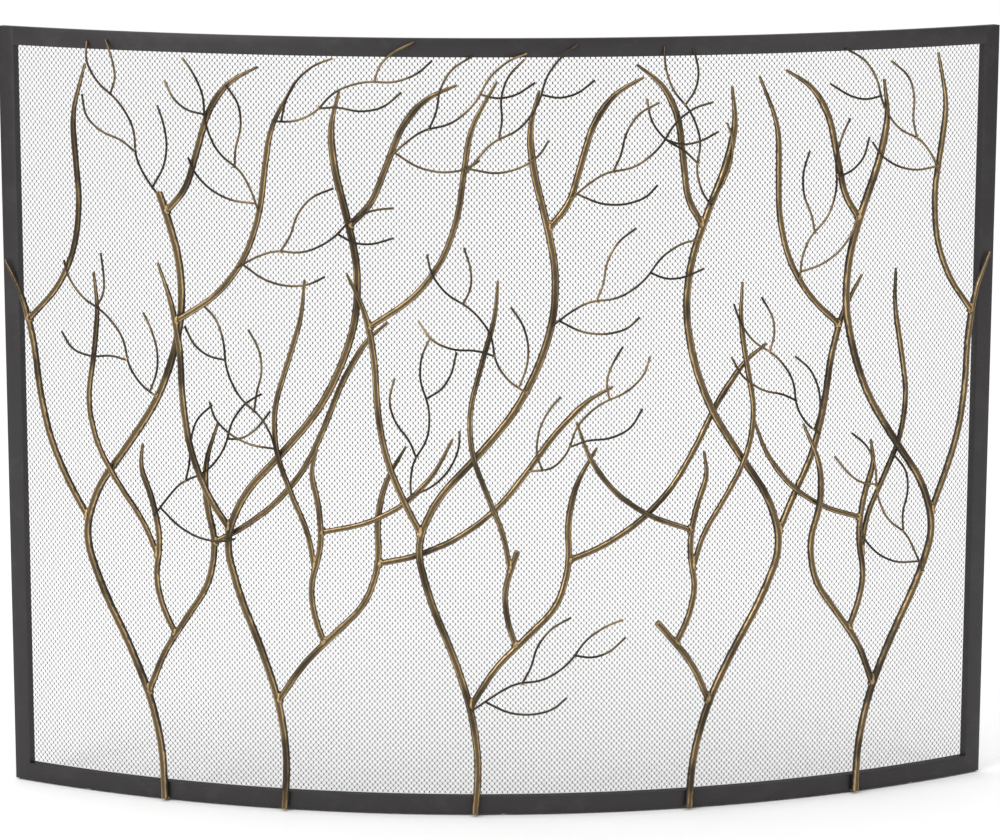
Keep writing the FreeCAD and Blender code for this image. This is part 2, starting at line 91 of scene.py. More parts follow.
class Value:
    """A socket that carries a number, wrapped so that shader maths reads as plain arithmetic."""

    def __init__(self, bench: "ShaderBench", socket: bpy.types.NodeSocket) -> None:
        """Wraps a socket.

        Args:
            bench: the bench whose material the socket belongs to.
            socket: an output socket that carries a number.
        """
        self.bench = bench
        self.socket = socket

    def _with(self, operation: str, left: Number, right: Number) -> "Value":
        """Adds a Math node for one operation and returns its result."""
        made = self.bench.node("ShaderNodeMath", {"operation": operation}, {0: left, 1: right})
        return Value(self.bench, made.outputs[0])

    def __add__(self, other: Number) -> "Value":
        """self + other."""
        return self._with("ADD", self, other)

    __radd__ = __add__

    def __sub__(self, other: Number) -> "Value":
        """self - other."""
        return self._with("SUBTRACT", self, other)

    def __rsub__(self, other: Number) -> "Value":
        """other - self."""
        return self._with("SUBTRACT", other, self)

    def __mul__(self, other: Number) -> "Value":
        """self * other."""
        return self._with("MULTIPLY", self, other)

    __rmul__ = __mul__

    def between(self, low: float, high: float) -> "Value":
        """A smooth step from 0 at low to 1 at high.

        Args:
            low: the number at which the step starts.
            high: the number at which it is complete.

        Returns:
            The stepped value, from 0 to 1.
        """
        settings = {"interpolation_type": "SMOOTHSTEP"}
        sockets = {"Value": self, "From Min": low, "From Max": high}
        made = self.bench.node("ShaderNodeMapRange", settings, sockets)
        return Value(self.bench, made.outputs["Result"])


class ShaderBench:
    """Builds one material's nodes."""

    MIX_A = 6
    MIX_B = 7
    MIX_RESULT = 2

    def __init__(self, name: str) -> None:
        """Starts an empty node material.

        Args:
            name: the material's name.
        """
        self.material = bpy.data.materials.new(name)
        self.material.use_nodes = True
        self.tree = self.material.node_tree
        self.tree.nodes.clear()
        self.place = self.node("ShaderNodeTexCoord").outputs["Object"]

    def node(
        self,
        kind: str,
        settings: Optional[dict[str, Any]] = None,
        sockets: Optional[dict[Union[str, int], Any]] = None,
    ) -> bpy.types.Node:
        """Adds a node, sets it up and then fills its sockets.

        Args:
            kind: the node's type.
            settings: the node's own settings, such as a Math node's operation.
            sockets: numbers, colours, sockets or values, by the input's name or index.

        Returns:
            The node.
        """
        made = self.tree.nodes.new(kind)
        for key, setting in (settings or {}).items():
            setattr(made, key, setting)
        for key, given in (sockets or {}).items():
            source = given.socket if isinstance(given, Value) else given
            if isinstance(source, bpy.types.NodeSocket):
                self.tree.links.new(source, made.inputs[key])
            else:
                made.inputs[key].default_value = source
        return made

    def grain(
        self, scale: float, detail: float = 2.0, stretch: Sequence[float] = (1.0, 1.0, 1.0)
    ) -> Value:
        """Noise over the piece.

        Args:
            scale: the noise's scale, per metre.
            detail: how many finer layers it has.
            stretch: how much each axis is scaled before the noise; under 1 draws it out.

        Returns:
            The noise, from about 0 to 1.
        """
        mapped = self.node("ShaderNodeMapping", None, {"Vector": self.place, "Scale": tuple(stretch)})
        sockets = {"Vector": mapped.outputs[0], "Scale": scale, "Detail": detail}
        made = self.node("ShaderNodeTexNoise", None, sockets)
        return Value(self, made.outputs[0])

    def blend(self, share: Number, first: Any, second: Any) -> bpy.types.NodeSocket:
        """Mixes two colours.

        Args:
            share: how much of the second shows, from 0 to 1.
            first: a colour or a colour socket.
            second: a colour or a colour socket.

        Returns:
            The mixed colour's socket.
        """
        first = (*first, 1.0) if isinstance(first, tuple) else first
        second = (*second, 1.0) if isinstance(second, tuple) else second
        sockets = {0: share, self.MIX_A: first, self.MIX_B: second}
        made = self.node("ShaderNodeMix", {"data_type": "RGBA"}, sockets)
        return made.outputs[self.MIX_RESULT]

    def relief(self, height: Value, depth: float) -> bpy.types.NodeSocket:
        """A bump from a height.

        Args:
            height: the height, from 0 to 1.
            depth: how deep that height is, in metres.

        Returns:
            The bumped normal's socket.
        """
        made = self.node("ShaderNodeBump", None, {"Distance": depth, "Height": height})
        return made.outputs["Normal"]

    def finished(self, sockets: dict[str, Any]) -> bpy.types.Material:
        """Adds the surface shader and the output.

        Args:
            sockets: what the surface shader's sockets get.

        Returns:
            The material.
        """
        shader = self.node("ShaderNodeBsdfPrincipled", None, sockets)
        self.node("ShaderNodeOutputMaterial", None, {"Surface": shader.outputs[0]})
        return self.material


@dataclass(frozen=True)
class AntiqueBrass:
    """Dark bronze paint with gold rubbed over whatever stands towards the room.

    The gold fades to the dark ground on the rods' sides, partly as the antique finish and partly as painted
    shade; a painted highlight brightens the gold that faces straight out, and a painted dark reflection
    darkens a line down its middle.
    """

    name: str = "antique_brass"
    bronze: Colour = (0.018, 0.014, 0.011)
    umber: Colour = (0.055, 0.037, 0.021)
    old_gold: Colour = (0.165, 0.110, 0.052)
    # painted highlight: the lighter gold laid where the surface faces straight out from the bow
    painted_highlight_gold: Colour = (0.56, 0.395, 0.185)
    # where gold gives way to dark ground as the surface turns sideways: partly the antique rub, partly
    # painted shade on the rods' sides
    rub_and_side_shade_starts: float = 0.40
    rub_and_side_shade_full: float = 0.74
    patchiness: float = 0.55
    # painted dark reflection: the colour of a dark line painted down the middle of the surface that faces
    # straight out, and how strongly
    painted_dark_reflection: Colour = (0.044, 0.030, 0.021)
    painted_dark_reflection_share: float = 0.85
    dark_starts: float = 0.50
    dark_full: float = 0.66
    dark_share: float = 0.72
    metallic: float = 0.78
    relief: float = 0.30 * MM

    def made(self, bow: "Bow") -> bpy.types.Material:
        """Builds the finish, with painted shade on the rods' sides, a painted highlight and a painted dark
        reflection.

        Args:
            bow: the bow, whose axis the rubbed gold side, with its painted highlight, faces away from; the
                rods' sides show painted shade.

        Returns:
            The material.
        """
        bench = ShaderBench(self.name)
        facing = self._facing(bench, bow)
        streaks = bench.grain(330.0, 3.0, (1.0, 1.0, 0.35))
        blotches = bench.grain(95.0, 2.0, (1.0, 1.0, 0.45))
        uneven = (streaks - 0.5) * self.patchiness + (blotches - 0.5) * self.patchiness
        # gold on what faces out, dark ground on the rods' sides: the antique rub, with painted shade on the
        # sides
        gold_rub_and_painted_side_shade = (facing + uneven).between(self.rub_and_side_shade_starts, self.rub_and_side_shade_full)
        # painted highlight: brighter gold where the surface faces straight out
        painted_highlight = (facing + uneven * 1.4).between(0.64, 0.90)
        ground = bench.blend(blotches.between(0.42, 0.66), self.bronze, self.umber)
        gold = bench.blend(painted_highlight, self.old_gold, self.painted_highlight_gold)
        rubbed_with_painted_side_shade = bench.blend(gold_rub_and_painted_side_shade, ground, gold)
        # painted dark reflection: a darker line down the middle of what faces straight out
        worn_and_painted_dark_reflection = (facing + uneven * 0.25).between(0.84, 0.95) * self.painted_dark_reflection_share
        with_painted_dark_reflection = bench.blend(worn_and_painted_dark_reflection, rubbed_with_painted_side_shade, self.painted_dark_reflection)
        stretches = bench.grain(15.0, 1.0)
        missed = (stretches + uneven * 0.15).between(self.dark_starts, self.dark_full) * self.dark_share
        hammered = bench.grain(420.0, 3.0) * 0.7 + bench.grain(1500.0, 1.0) * 0.3
        return bench.finished(
            {
                "Base Color": bench.blend(missed, with_painted_dark_reflection, self.bronze),
                "Metallic": gold_rub_and_painted_side_shade * (self.metallic - 0.12) + 0.12,
                "Roughness": 0.52 - gold_rub_and_painted_side_shade * 0.16 + (streaks - 0.5) * 0.12,
                "Normal": bench.relief(hammered, self.relief),
            }
        )

    def _facing(self, bench: ShaderBench, bow: "Bow") -> Value:
        """How squarely the surface faces outwards from the bow's axis, from -1 to 1."""
        flat = bench.node(
            "ShaderNodeVectorMath",
            {"operation": "MULTIPLY_ADD"},
            {0: bench.place, 1: (1.0, 1.0, 0.0), 2: (0.0, -bow.axis_y, 0.0)},
        )
        outward = bench.node("ShaderNodeVectorMath", {"operation": "NORMALIZE"}, {0: flat.outputs[0]})
        normal = bench.node("ShaderNodeNewGeometry").outputs["Normal"]
        dotted = bench.node(
            "ShaderNodeVectorMath", {"operation": "DOT_PRODUCT"}, {0: normal, 1: outward.outputs[0]}
        )
        return Value(bench, dotted.outputs["Value"])


@dataclass(frozen=True)
class SatinBar:
    """A sprayed satin coat on flat steel bar, a little uneven and worn in places."""

    name: str
    coat: Colour
    worn_and_painted_dark_reflection: Colour
    roughness: float = 0.42
    metallic: float = 0.35
    orange_peel: float = 0.10 * MM

    def made(self) -> bpy.types.Material:
        """Builds the finish and returns its material."""
        bench = ShaderBench(self.name)
        cloud = bench.grain(38.0, 3.0)
        scuffs = bench.grain(240.0, 4.0, (0.4, 0.4, 1.0))
        peel = bench.grain(900.0, 2.0)
        wear = (cloud * 0.65 + scuffs * 0.35).between(0.47, 0.68)
        return bench.finished(
            {
                "Base Color": bench.blend(wear, self.coat, self.worn_and_painted_dark_reflection),
                "Metallic": self.metallic,
                "Roughness": self.roughness + (cloud - 0.5) * 0.18 + (peel - 0.5) * 0.06,
                "Normal": bench.relief(peel * 0.6 + scuffs * 0.4, self.orange_peel),
            }
        )


@dataclass(frozen=True)
class BlackedWire:
    """Blackened steel wire of the cloth, so thin that its own grain doesn't show."""

    name: str = "blackened_wire"
    colour: Colour = (0.026, 0.023, 0.025)
    roughness: float = 0.55
    metallic: float = 0.20

    def made(self) -> bpy.types.Material:
        """Builds the finish and returns its material."""
        bench = ShaderBench(self.name)
        return bench.finished(
            {
                "Base Color": (*self.colour, 1.0),
                "Metallic": self.metallic,
                "Roughness": self.roughness,
            }
        )


@dataclass(frozen=True)
class ClearRubber:
    """Soft clear rubber, clouded a little."""

    name: str = "clear_rubber"
    clear: Colour = (0.80, 0.79, 0.75)
    cloudy: Colour = (0.62, 0.60, 0.55)

    def made(self) -> bpy.types.Material:
        """Builds the finish and returns its material."""
        bench = ShaderBench(self.name)
        haze = bench.grain(260.0, 2.0)
        return bench.finished(
            {
                "Base Color": bench.blend(haze.between(0.35, 0.7), self.clear, self.cloudy),
                "Roughness": haze * 0.15 + 0.22,
                "Transmission Weight": 0.45,
                "IOR": 1.45,
                "Normal": bench.relief(haze, 0.05 * MM),
            }
        )


@dataclass(frozen=True)
class StudioFloor:
    """The floor's matt pale paint."""

    name: str = "pale_floor"
    colour: Colour = (0.93, 0.93, 0.93)

    def made(self) -> bpy.types.Material:
        """Builds the finish and returns its material."""
        bench = ShaderBench(self.name)
        shade = bench.grain(1.5, 1.0)
        near = tuple(part * 0.985 for part in self.colour)
        return bench.finished({"Base Color": bench.blend(shade, self.colour, near), "Roughness": 0.9})


# ---------------------------------------------------------------------------------------------------
# Mesh work


@dataclass(frozen=True)
class Soup:
    """A mesh's corner points and faces, before it is a Blender mesh."""

    points: np.ndarray
    faces: np.ndarray

    @staticmethod
    def of(parts: Iterable["Soup"]) -> "Soup":
        """Several soups in one.

        Args:
            parts: soups whose faces have the same number of corners.

        Returns:
            The joined soup.
        """
        points, faces, start = [], [], 0
        for part in parts:
            points.append(part.points)
            faces.append(part.faces + start)
            start += len(part.points)
        return Soup(np.concatenate(points), np.concatenate(faces))

    def piece(self, name: str, smooth: bool = True) -> bpy.types.Object:
        """Makes a Blender object of it.

        Args:
            name: the object's name.
            smooth: whether its faces are shaded smoothly.

        Returns:
            The object, linked to the scene.
        """
        corners = self.faces.shape[1]
        count = len(self.faces)
        mesh = bpy.data.meshes.new(name)
        mesh.vertices.add(len(self.points))
        mesh.vertices.foreach_set("co", self.points.astype(np.float32).ravel())
        mesh.loops.add(count * corners)
        mesh.loops.foreach_set("vertex_index", self.faces.astype(np.int32).ravel())
        mesh.polygons.add(count)
        mesh.polygons.foreach_set("loop_start", np.arange(0, count * corners, corners, dtype=np.int32))
        mesh.update(calc_edges=True)
        mesh.validate()
        mesh.polygons.foreach_set("use_smooth", np.full(len(mesh.polygons), smooth))
        made = bpy.data.objects.new(name, mesh)
        bpy.context.scene.collection.objects.link(made)
        return made


def points_of(mesh: bpy.types.Mesh) -> np.ndarray:
    """A mesh's points as rows of x, y, z."""
    flat = np.zeros(len(mesh.vertices) * 3, np.float32)
    mesh.vertices.foreach_get("co", flat)
    return flat.reshape(-1, 3).astype(float)


def skin_of(node: bpy.types.Object) -> BVHTree:
    """A search tree of a CAD node's faces."""
    mesh = node.data
    polygons = [tuple(face.vertices) for face in mesh.polygons]
    return BVHTree.FromPolygons([v.co.copy() for v in mesh.vertices], polygons)


def islands_of(mesh: bpy.types.Mesh) -> list[np.ndarray]:
    """Splits a mesh into the solids that it is made of.

    Args:
        mesh: a mesh of several solids, whose flat and curved faces may have seams of their own.

    Returns:
        The point numbers of each solid, in the mesh's order.
    """
    points = points_of(mesh)
    cells = np.round(points / SEAM_WELD).astype(np.int64)
    keys, joined = np.unique(cells, axis=0, return_inverse=True)
    joined = joined.ravel()
    owner = np.arange(len(keys))
    edges = np.zeros(len(mesh.edges) * 2, np.int32)
    mesh.edges.foreach_get("vertices", edges)
    ends = joined[edges.reshape(-1, 2)]
    while True:
        least = np.minimum(owner[ends[:, 0]], owner[ends[:, 1]])
        before = owner.copy()
        np.minimum.at(owner, ends[:, 0], least)
        np.minimum.at(owner, ends[:, 1], least)
        owner = owner[owner]
        if np.array_equal(before, owner):
            break
    labels = owner[joined]
    firsts = sorted((int(np.argmax(labels == label)), label) for label in np.unique(labels))
    return [np.nonzero(labels == label)[0] for _, label in firsts]


def ball(centre: np.ndarray, radius: float) -> Soup:
    """A small faceted ball, which a remesh then rounds and joins to its neighbours.

    Args:
        centre: its middle.
        radius: its radius.

    Returns:
        Its triangles.
    """
    golden = (1.0 + math.sqrt(5.0)) / 2.0
    corners = []
    for a in (-1.0, 1.0):
        for b in (-golden, golden):
            corners += [(a, b, 0.0), (0.0, a, b), (b, 0.0, a)]
    points = np.array(corners) / math.hypot(1.0, golden)
    faces = []
    edge = 2.0 / math.hypot(1.0, golden) * 1.01
    count = len(points)
    for i in range(count):
        for j in range(i + 1, count):
            for k in range(j + 1, count):
                trio = points[[i, j, k]]
                sides = [np.linalg.norm(trio[n] - trio[n - 1]) for n in range(3)]
                if max(sides) < edge:
                    turn = np.dot(np.cross(trio[1] - trio[0], trio[2] - trio[0]), trio.sum(0))
                    faces.append((i, j, k) if turn > 0 else (i, k, j))
    return Soup(points * radius + centre, np.array(faces))


UNIT_BALL = ball(np.zeros(3), 1.0)


def bead(centre: np.ndarray, radius: float) -> Soup:
    """The unit ball, scaled and moved."""
    return Soup(UNIT_BALL.points * radius + centre, UNIT_BALL.faces)


def lathe(profile: Sequence[tuple[float, float]], steps: int) -> Soup:
    """Turns a profile about Z.

    Args:
        profile: (radius, height) pairs, from the axis at one end to the axis at the other.
        steps: how many faces go round.

    Returns:
        The turned solid, whose end rings are closed by tiny faces.
    """
    angles = np.arange(steps) * 2.0 * math.pi / steps
    rings = []
    for radius, height in profile:
        reach = max(radius, AXIS_RADIUS)
        level = np.full(steps, height)
        rings.append(np.stack([np.cos(angles) * reach, np.sin(angles) * reach, level], axis=1))
    faces = []
    for ring in range(len(profile) - 1):
        for step in range(steps):
            after = (step + 1) % steps
            low, high = ring * steps, (ring + 1) * steps
            faces.append((low + step, low + after, high + after, high + step))
    return Soup(np.concatenate(rings), np.array(faces))


def remeshed(source: bpy.types.Object, name: str, voxel: float, passes: int) -> bpy.types.Object:
    """Gives a copy of an object an even skin.

    Args:
        source: the object whose shape is taken; it stays as it is.
        name: the new object's name.
        voxel: the new skin's face size.
        passes: how many times it is smoothed.

    Returns:
        The new object, whose modifiers are applied.
    """
    worker = bpy.data.objects.new(name + "_worker", source.data.copy())
    bpy.context.scene.collection.objects.link(worker)
    remesh = worker.modifiers.new("even_skin", "REMESH")
    remesh.mode = "VOXEL"
    remesh.voxel_size = voxel
    remesh.use_smooth_shade = True
    smooth = worker.modifiers.new("eased", "SMOOTH")
    smooth.factor = 0.5
    smooth.iterations = passes
    graph = bpy.context.evaluated_depsgraph_get()
    mesh = bpy.data.meshes.new_from_object(worker.evaluated_get(graph))
    mesh.name = name
    bpy.data.objects.remove(worker)
    made = bpy.data.objects.new(name, mesh)
    bpy.context.scene.collection.objects.link(made)
    return made


def dress(piece: bpy.types.Object, finish: bpy.types.Material) -> None:
    """Gives a piece its finish.

    Args:
        piece: a new piece or a CAD node.
        finish: its material.
    """
    for index in range(len(piece.material_slots)):
        piece.material_slots[index].link = "OBJECT"
        piece.material_slots[index].material = finish
    if not piece.material_slots:
        piece.data.materials.append(finish)


def place(piece: bpy.types.Object, finish: bpy.types.Material, slot: Slot, *nodes: str) -> None:
    """Dresses a new piece, rides it on the screen and lets it stand for CAD nodes.

    Args:
        piece: the new piece.
        finish: its material.
        slot: the record's slot; it is not used.
        nodes: the CAD nodes that it stands for.
    """
    dress(piece, finish)
    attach(piece, ROOT_BODY)
    if nodes:
        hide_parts(*nodes)
    LOG.info("%s: %d faces", piece.name, len(piece.data.polygons))


@dataclass(frozen=True)
class Bow:
    """The screen's curve: its front face is part of an upright cylinder whose axis is on the hearth side."""

    radius: float
    axis_y: float

    @staticmethod
    def of_frame() -> "Bow":
        """Works out the bow from the bottom rail's front and a stile's outer front edge."""
        front_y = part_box("bottom_rail")[0].y
        stile = points_of(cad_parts["left_stile"].data)
        outer = stile[np.argmin(stile[:, 0])]
        half, depth = abs(outer[0]), outer[1] - front_y
        radius = (half * half + depth * depth) / (2.0 * depth)
        return Bow(radius, front_y + radius)

    def points(self, along: np.ndarray, height: np.ndarray, depth: np.ndarray) -> np.ndarray:
        """Places on the bow.

        Args:
            along: distances from the middle along the front face's arc.
            height: heights above the floor.
            depth: distances in front of the front face; behind it they are negative.

        Returns:
            The points, as rows of x, y, z.
        """
        angle = along / self.radius
        reach = self.radius + depth
        return np.stack([reach * np.sin(angle), self.axis_y - reach * np.cos(angle), height], axis=-1)

    def outward(self, point: np.ndarray) -> np.ndarray:
        """The level direction from the axis through a point."""
        away = np.array([point[0], point[1] - self.axis_y, 0.0])
        return away / np.linalg.norm(away)


# ---------------------------------------------------------------------------------------------------
# The screen's sub-assemblies


@dataclass
class BarFrame:
    """The flat bar frame: two bowed rails and two upright stiles."""

    bars: tuple[str, ...] = ("top_rail", "bottom_rail", "left_stile", "right_stile")
    edge_round: float = 0.7 * MM
    edge_angle: float = math.radians(50.0)
    finish: SatinBar = SatinBar("satin_bar", (0.027, 0.024, 0.025), (0.036, 0.033, 0.033))

    def build(self) -> None:
        """Rounds the bars' edges and dresses them."""
        material = self.finish.made()
        for name in self.bars:
            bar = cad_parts[name]
            ease_edges(bar, self.edge_round, self.edge_angle)
            dress(bar, material)
            LOG.info("%s: dressed", name)


def ease_edges(node: bpy.types.Object, width: float, angle: float) -> None:
    """Rounds a CAD node's sharp edges with a modifier.

    Args:
        node: the CAD node.
        width: how far back from the edge the rounding starts.
        angle: the least turn that counts as an edge.
    """
    weld = node.modifiers.new("closed_seams", "WELD")
    weld.merge_threshold = 0.005 * MM
    bevel = node.modifiers.new("eased_edges", "BEVEL")
    bevel.width = width
    bevel.segments = 3
    bevel.limit_method = "ANGLE"
    bevel.angle_limit = angle
    bevel.harden_normals = False


@dataclass
class ClothStrips:
    """The strips that clamp the cloth to the back of the frame, and their screws."""

    strips: tuple[str, ...] = ("top_strip", "bottom_strip", "left_strip", "right_strip")
    screws: str = "strip_screws"
    edge_round: float = 0.25 * MM
    edge_angle: float = math.radians(50.0)
    head_steps: int = 32
    cross_half_width: float = 0.55 * MM
    cross_reach: float = 2.1 * MM
    cross_depth: float = 0.9 * MM
    strip_finish: SatinBar = SatinBar("satin_strip", (0.034, 0.032, 0.032), (0.052, 0.048, 0.047), 0.48)
    screw_finish: SatinBar = SatinBar("zinc_screw", (0.10, 0.095, 0.088), (0.19, 0.18, 0.165), 0.36, 0.85)

    def build(self, bow: Bow) -> None:
        """Dresses the strips and makes the screws.

        Args:
            bow: the bow, whose axis the screw heads face.
        """
        material = self.strip_finish.made()
        for name in self.strips:
            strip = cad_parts[name]
            ease_edges(strip, self.edge_round, self.edge_angle)
            dress(strip, material)
            LOG.info("%s: dressed", name)
        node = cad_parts[self.screws]
        points = points_of(node.data)
        made = [self._screw(points[island], bow, turn) for turn, island in enumerate(islands_of(node.data))]
        screws = Soup.of(made).piece("pan_head_screws")
        place(screws, self.screw_finish.made(), Slot.SCREW, self.screws)

    def _screw(self, solid: np.ndarray, bow: Bow, turn: int) -> Soup:
        """One pan head screw in the place of its plain solid.

        Args:
            solid: the plain screw's points.
            bow: the bow.
            turn: the screw's number, which sets how its cross stands.

        Returns:
            The screw's faces.
        """
        inward = -bow.outward(solid.mean(0))
        along = solid @ inward
        foot, top = along.min(), along.max()
        off_axis = solid - np.outer(along, inward)
        centre = (off_axis.min(0) + off_axis.max(0)) / 2.0
        reach = np.linalg.norm(off_axis - centre, axis=1)
        head, shank = reach.max(), reach[along < foot + 0.2 * MM].max()
        seat = along[reach > head * 0.98].min()
        rise = top - seat
        profile = [(0.0, foot), (shank * 0.7, foot), (shank, foot + 0.4 * MM), (shank, seat), (head, seat)]
        profile += [
            (head * math.cos(a) ** 0.45, seat + rise * (0.25 + 0.75 * math.sin(a)))
            for a in np.linspace(0.0, math.pi / 2.0, 9)[:-1]
        ]
        profile += [(head * share, top) for share in (0.42, 0.34, 0.27, 0.20, 0.14, 0.09, 0.05, 0.0)]
        soup = lathe(profile, self.head_steps)
        points = soup.points
        spread = np.sort(np.abs(points[:, :2]), axis=1)
        inside = (spread[:, 0] < self.cross_half_width) & (spread[:, 1] < self.cross_reach)
        inside &= points[:, 2] > seat + rise * 0.6
        points[inside, 2] -= self.cross_depth
        spin = Matrix.Rotation(math.radians(17.0 * turn), 3, "Z")
        side = np.cross((0.0, 0.0, 1.0), inward)
        basis = np.stack([side, np.array((0.0, 0.0, 1.0)), inward])
        turned = points @ np.array(spin).T
        return Soup(turned @ basis + centre, soup.faces)


@dataclass
class FloorPads:
    """The rubber pads under the bottom rail."""

    node: str = "floor_pads"
    steps: int = 40
    finish: ClearRubber = ClearRubber()

    def build(self) -> None:
        """Makes a domed pad in each plain pad's place."""
        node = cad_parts[self.node]
        points = points_of(node.data)
        pads = [self._pad(points[island]) for island in islands_of(node.data)]
        place(Soup.of(pads).piece("domed_pads"), self.finish.made(), Slot.PAD, self.node)

    def _pad(self, solid: np.ndarray) -> Soup:
        """One domed pad.

        Args:
            solid: the plain pad's points.

        Returns:
            The pad's faces.
        """
        low, high = solid.min(0), solid.max(0)
        radius, tall = (high[0] - low[0]) / 2.0, high[2] - low[2]
        profile = [(0.0, 0.0)]
        for share in np.linspace(0.15, 1.0, 9):
            profile.append((radius * share, tall * 0.7 * (1.0 - math.sqrt(1.0 - (share * 0.97) ** 2))))
        profile += [(radius, tall * 0.85), (radius * 0.96, tall), (0.0, tall)]
        soup = lathe(profile, self.steps)
        centre = np.array([(low[0] + high[0]) / 2.0, (low[1] + high[1]) / 2.0, low[2]])
        return Soup(soup.points + centre, soup.faces)


@dataclass
class WireCloth:
    """Coil-woven wire cloth: upright zigzag wires, each hooked through the next at every turn."""

    node: str = "mesh_panel"
    diamond_width: float = 5.9 * MM
    diamond_height: float = 6.7 * MM
    wire: float = 0.56 * MM
    wave: float = 0.45 * MM
    hook: float = 0.34 * MM
    turn_half_height: float = 0.75 * MM
    unevenness: float = 0.07 * MM
    edge: float = 5.0 * MM
    wires_in_piece: int = 57
    sides: int = 3
    finish: BlackedWire = BlackedWire()

    def build(self, bow: Bow) -> None:
        """Weaves the cloth over the plain panel's area.

        Args:
            bow: the bow that the cloth follows.
        """
        low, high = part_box(self.node)
        behind = bow.axis_y - bow.radius - low.y
        depth = behind - self.wave - self.wire / 2.0
        half = bow.radius * math.asin(high.x / (bow.radius + behind)) - self.edge
        across, up = self.diamond_width / 2.0, self.diamond_height / 2.0
        wires = int(2.0 * half / across)
        turns = int((high.z - low.z - 2.0 * self.edge) / up)
        first = low.z + (high.z - low.z - (turns - 1) * up) / 2.0
        rng = np.random.default_rng(SEED)
        slack = rng.uniform(-self.unevenness, self.unevenness, (wires + 1, turns, 2))
        material = self.finish.made()
        starts = range(0, wires, self.wires_in_piece)
        for number, start in enumerate(starts, 1):
            group = np.arange(start, min(start + self.wires_in_piece, wires))
            rings = self._rings(group, wires, turns, across, up, first, slack)
            soup = self._wires(rings, bow, depth)
            piece = soup.piece(f"wire_cloth_{number}")
            place(piece, material, Slot.WIRE_CLOTH, self.node)

    def _rings(
        self,
        group: np.ndarray,
        wires: int,
        turns: int,
        across: float,
        up: float,
        first: float,
        slack: np.ndarray,
    ) -> np.ndarray:
        """Where the wires of one piece pass, two points for each turn.

        Args:
            group: the numbers of the piece's wires.
            wires: how many wires the whole cloth has.
            turns: how many turns a wire has.
            across: the distance between neighbouring columns of hooks.
            up: the height between a wire's turns.
            first: the height of the first turn.
            slack: how far each hook is out of its place, along and up.

        Returns:
            An array of wire, point and (along, height, depth).
        """
        wire, turn = np.meshgrid(group, np.arange(turns), indexing="ij")
        right = (wire + turn) % 2 == 1
        column = wire + right
        along = (column - wires / 2.0) * across + np.where(right, self.hook, -self.hook)
        along = along + slack[column, turn, 0]
        height = first + turn * up + slack[column, turn, 1]
        side = np.where(right, self.wave, -self.wave)
        below = np.stack([along, height - self.turn_half_height, side * Lay.FRONT.value], axis=-1)
        above = np.stack([along, height + self.turn_half_height, side * Lay.BACK.value], axis=-1)
        return np.stack([below, above], axis=2).reshape(len(group), turns * 2, 3)

    def _wires(self, rings: np.ndarray, bow: Bow, depth: float) -> Soup:
        """Gives the wires their thickness.

        Args:
            rings: an array of wire, point and (along, height, depth).
            bow: the bow.
            depth: the cloth's middle, in front of the bow's face.

        Returns:
            The wires' faces.
        """
        slant = math.cos(math.atan2(self.diamond_width, self.diamond_height))
        angles = math.pi / 2.0 + np.arange(self.sides) * 2.0 * math.pi / self.sides
        round_along = np.cos(angles) * self.wire / 2.0 / slant
        round_depth = np.sin(angles) * self.wire / 2.0
        along = rings[..., 0:1] + round_along
        height = np.broadcast_to(rings[..., 1:2], along.shape)
        points = bow.points(along, height, rings[..., 2:3] + round_depth + depth)
        count, length = rings.shape[:2]
        wire, ring, side = np.meshgrid(
            np.arange(count), np.arange(length - 1), np.arange(self.sides), indexing="ij"
        )
        low = (wire * length + ring) * self.sides
        after = (side + 1) % self.sides
        high = low + self.sides
        faces = np.stack([low + side, low + after, high + after, high + side], axis=-1)
        return Soup(points.reshape(-1, 3), faces.reshape(-1, 4))


